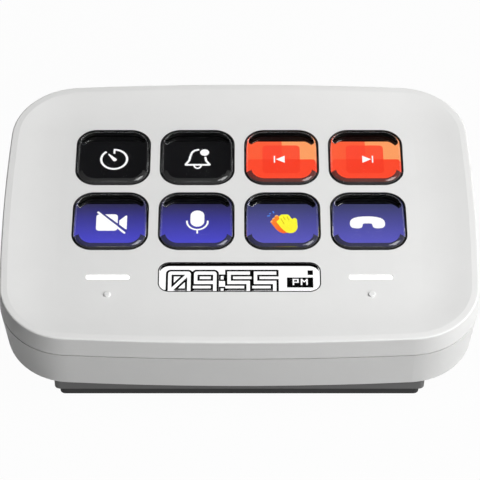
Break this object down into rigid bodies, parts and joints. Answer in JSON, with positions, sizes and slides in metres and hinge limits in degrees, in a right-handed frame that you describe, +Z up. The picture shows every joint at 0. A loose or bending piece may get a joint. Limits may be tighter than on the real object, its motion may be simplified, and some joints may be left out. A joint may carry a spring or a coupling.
{
  "type": "macro keypad",
  "caption": "Desk keypad with clear display keys in rows, a clock window, light bars and touch dots, leaning on a wedge with a cable socket at the back.",
  "frame": {"origin": "on the desk, under the middle of the keypad's bounding box", "axes": "+Z up; +X to the user's right; the user sits at -Y and the cable socket faces +Y; the face leans towards the user by 4 degrees"},
  "size_m": [0.107, 0.0778, 0.0277],
  "materials": {
    "housing": "fine matte moulded plastic, light grey",
    "wedge": "matte moulded plastic, grey",
    "rubber": "matte rubber",
    "steel": "plain sheet steel",
    "screw_steel": "zinc-plated steel",
    "black_plastic": "matte black plastic",
    "film": "thin circuit board",
    "display_glass": "dark display glass with lit pictures",
    "clear_cap": "clear polished plastic",
    "clear_lens": "clear polished plastic",
    "clock_face": "lit white display",
    "light_bar": "lit translucent white plastic",
    "lamp": "small white lamps",
    "silicone": "black silicone",
    "sensor": "copper sensor pad",
    "circuit_board": "green circuit board",
    "chip": "black chip package",
    "ribbon": "amber flexible ribbon",
    "connector": "ivory connector plastic",
    "socket_steel": "bright steel",
    "white_sheet": "white diffuser sheets"
  },
  "bodies": {
    "housing": {"upper_shell": "housing", "lower_shell": "housing", "key_bezels": "black_plastic", "window_bezel": "black_plastic", "key_guide": "black_plastic", "contact_board": "film", "display_panel": "display_glass", "backlight_tray": "black_plastic", "backlight_sheets": "white_sheet", "clock_lens": "clear_lens", "clock_display": "clock_face", "light_bar_left": "light_bar", "light_bar_right": "light_bar", "bar_lamps": "lamp", "touch_sensor_left": "sensor", "touch_sensor_right": "sensor", "front_board": "circuit_board", "main_board": "circuit_board", "processor": "chip", "board_parts": "chip", "ribbon_connectors": "connector", "display_ribbon": "ribbon", "key_ribbon": "ribbon", "front_ribbon": "ribbon", "cable_socket": "socket_steel", "socket_tongue": "black_plastic", "steel_weight": "steel", "wedge_plinth": "wedge", "foot_pad": "rubber", "housing_screws": "screw_steel", "plinth_screws": "screw_steel", "display_screws": "screw_steel", "front_board_screws": "screw_steel", "main_board_screws": "screw_steel", "spring_collar_1": "silicone", "spring_collar_2": "silicone", "spring_collar_3": "silicone", "spring_collar_4": "silicone", "spring_collar_5": "silicone", "spring_collar_6": "silicone", "spring_collar_7": "silicone", "spring_collar_8": "silicone"},
    "key_1": {"keycap_1": "clear_cap", "key_carrier_1": "black_plastic"},
    "key_2": {"keycap_2": "clear_cap", "key_carrier_2": "black_plastic"},
    "key_3": {"keycap_3": "clear_cap", "key_carrier_3": "black_plastic"},
    "key_4": {"keycap_4": "clear_cap", "key_carrier_4": "black_plastic"},
    "key_5": {"keycap_5": "clear_cap", "key_carrier_5": "black_plastic"},
    "key_6": {"keycap_6": "clear_cap", "key_carrier_6": "black_plastic"},
    "key_7": {"keycap_7": "clear_cap", "key_carrier_7": "black_plastic"},
    "key_8": {"keycap_8": "clear_cap", "key_carrier_8": "black_plastic"}
  },
  "joints": [
    {"name": "key_1_press", "type": "slide", "parent": "housing", "child": "key_1", "axis": [0, -0.0698, 0.9976], "range_m": [-0.001, 0], "stiffness_N_per_m": 450, "springref_m": 0.0005, "deforming": ["spring_collar_1"]},
    {"name": "key_2_press", "type": "slide", "parent": "housing", "child": "key_2", "axis": [0, -0.0698, 0.9976], "range_m": [-0.001, 0], "stiffness_N_per_m": 450, "springref_m": 0.0005, "deforming": ["spring_collar_2"]},
    {"name": "key_3_press", "type": "slide", "parent": "housing", "child": "key_3", "axis": [0, -0.0698, 0.9976], "range_m": [-0.001, 0], "stiffness_N_per_m": 450, "springref_m": 0.0005, "deforming": ["spring_collar_3"]},
    {"name": "key_4_press", "type": "slide", "parent": "housing", "child": "key_4", "axis": [0, -0.0698, 0.9976], "range_m": [-0.001, 0], "stiffness_N_per_m": 450, "springref_m": 0.0005, "deforming": ["spring_collar_4"]},
    {"name": "key_5_press", "type": "slide", "parent": "housing", "child": "key_5", "axis": [0, -0.0698, 0.9976], "range_m": [-0.001, 0], "stiffness_N_per_m": 450, "springref_m": 0.0005, "deforming": ["spring_collar_5"]},
    {"name": "key_6_press", "type": "slide", "parent": "housing", "child": "key_6", "axis": [0, -0.0698, 0.9976], "range_m": [-0.001, 0], "stiffness_N_per_m": 450, "springref_m": 0.0005, "deforming": ["spring_collar_6"]},
    {"name": "key_7_press", "type": "slide", "parent": "housing", "child": "key_7", "axis": [0, -0.0698, 0.9976], "range_m": [-0.001, 0], "stiffness_N_per_m": 450, "springref_m": 0.0005, "deforming": ["spring_collar_7"]},
    {"name": "key_8_press", "type": "slide", "parent": "housing", "child": "key_8", "axis": [0, -0.0698, 0.9976], "range_m": [-0.001, 0], "stiffness_N_per_m": 450, "springref_m": 0.0005, "deforming": ["spring_collar_8"]}
  ]
}
